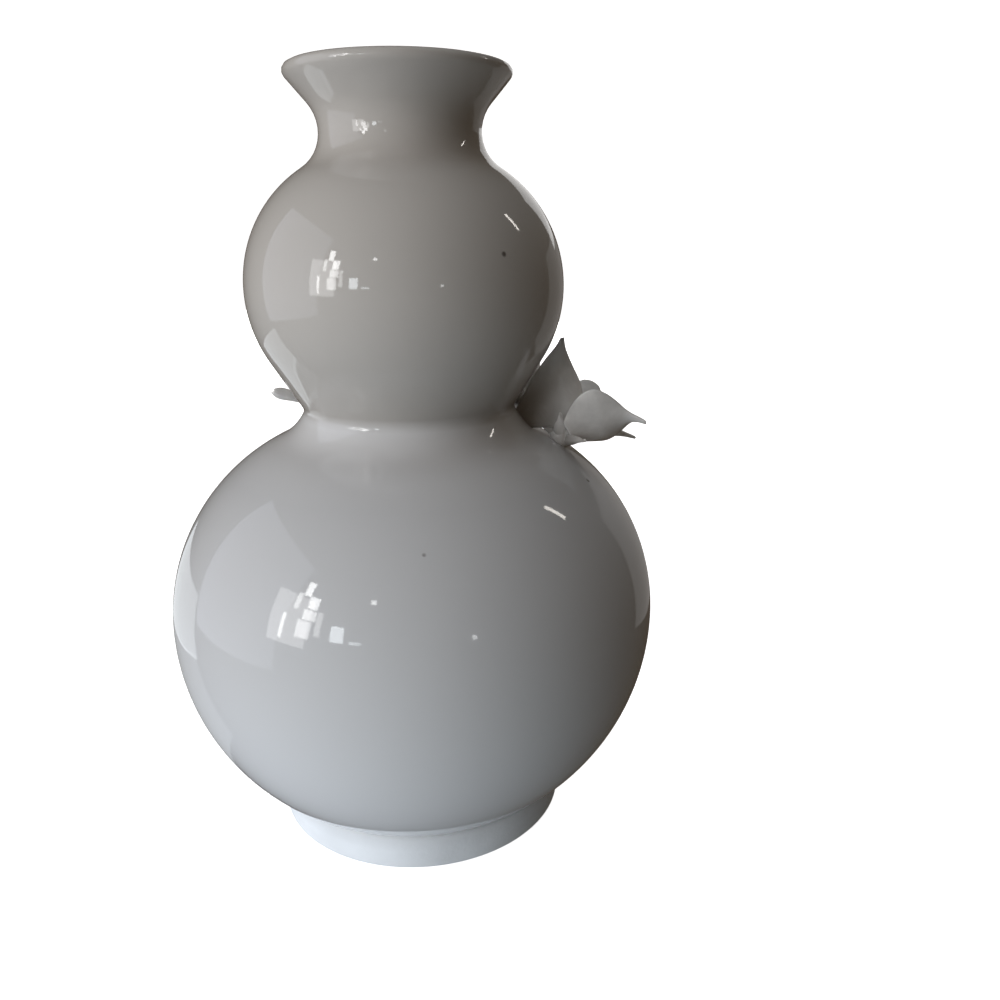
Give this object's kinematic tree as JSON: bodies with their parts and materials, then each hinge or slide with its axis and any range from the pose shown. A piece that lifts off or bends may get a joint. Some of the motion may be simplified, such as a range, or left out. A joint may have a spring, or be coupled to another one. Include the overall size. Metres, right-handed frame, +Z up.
{
  "type": "gourd vase",
  "caption": "Double-gourd ceramic vase with two round bulbs, a narrow waist, a flared mouth, a foot ring and a hand-modelled flower spray luted to the waist, for holding cut stems in water.",
  "frame": {"origin": "centre of the foot ring's ground face, the point under the vase's axis", "axes": "+Z up along the vase's axis, -Y towards the viewer of the picture, +X to the viewer's right, where the blossom is"},
  "size_m": [0.2024, 0.2024, 0.305],
  "materials": {
    "glaze": "glossy grey-white glaze",
    "biscuit": "bare matte white clay",
    "spray_glaze": "semi-gloss grey glaze, thin over the edges"
  },
  "bodies": {
    "root": {"foot_ring": "biscuit", "lower_bowl": "glaze", "lower_shoulder": "glaze", "upper_globe": "glaze", "flared_mouth": "glaze", "broad_petal": "spray_glaze", "drooping_leaf": "spray_glaze", "hanging_leaf": "spray_glaze", "inner_petal_1": "spray_glaze", "inner_petal_2": "spray_glaze", "left_leaf": "spray_glaze", "receptacle": "spray_glaze", "sepal_1": "spray_glaze", "sepal_2": "spray_glaze", "slanting_leaf": "spray_glaze", "slim_petal": "spray_glaze", "stalk": "spray_glaze", "stamens": "spray_glaze", "standing_leaf": "spray_glaze", "tall_petal": "spray_glaze", "twig": "spray_glaze"}
  },
  "joints": []
}
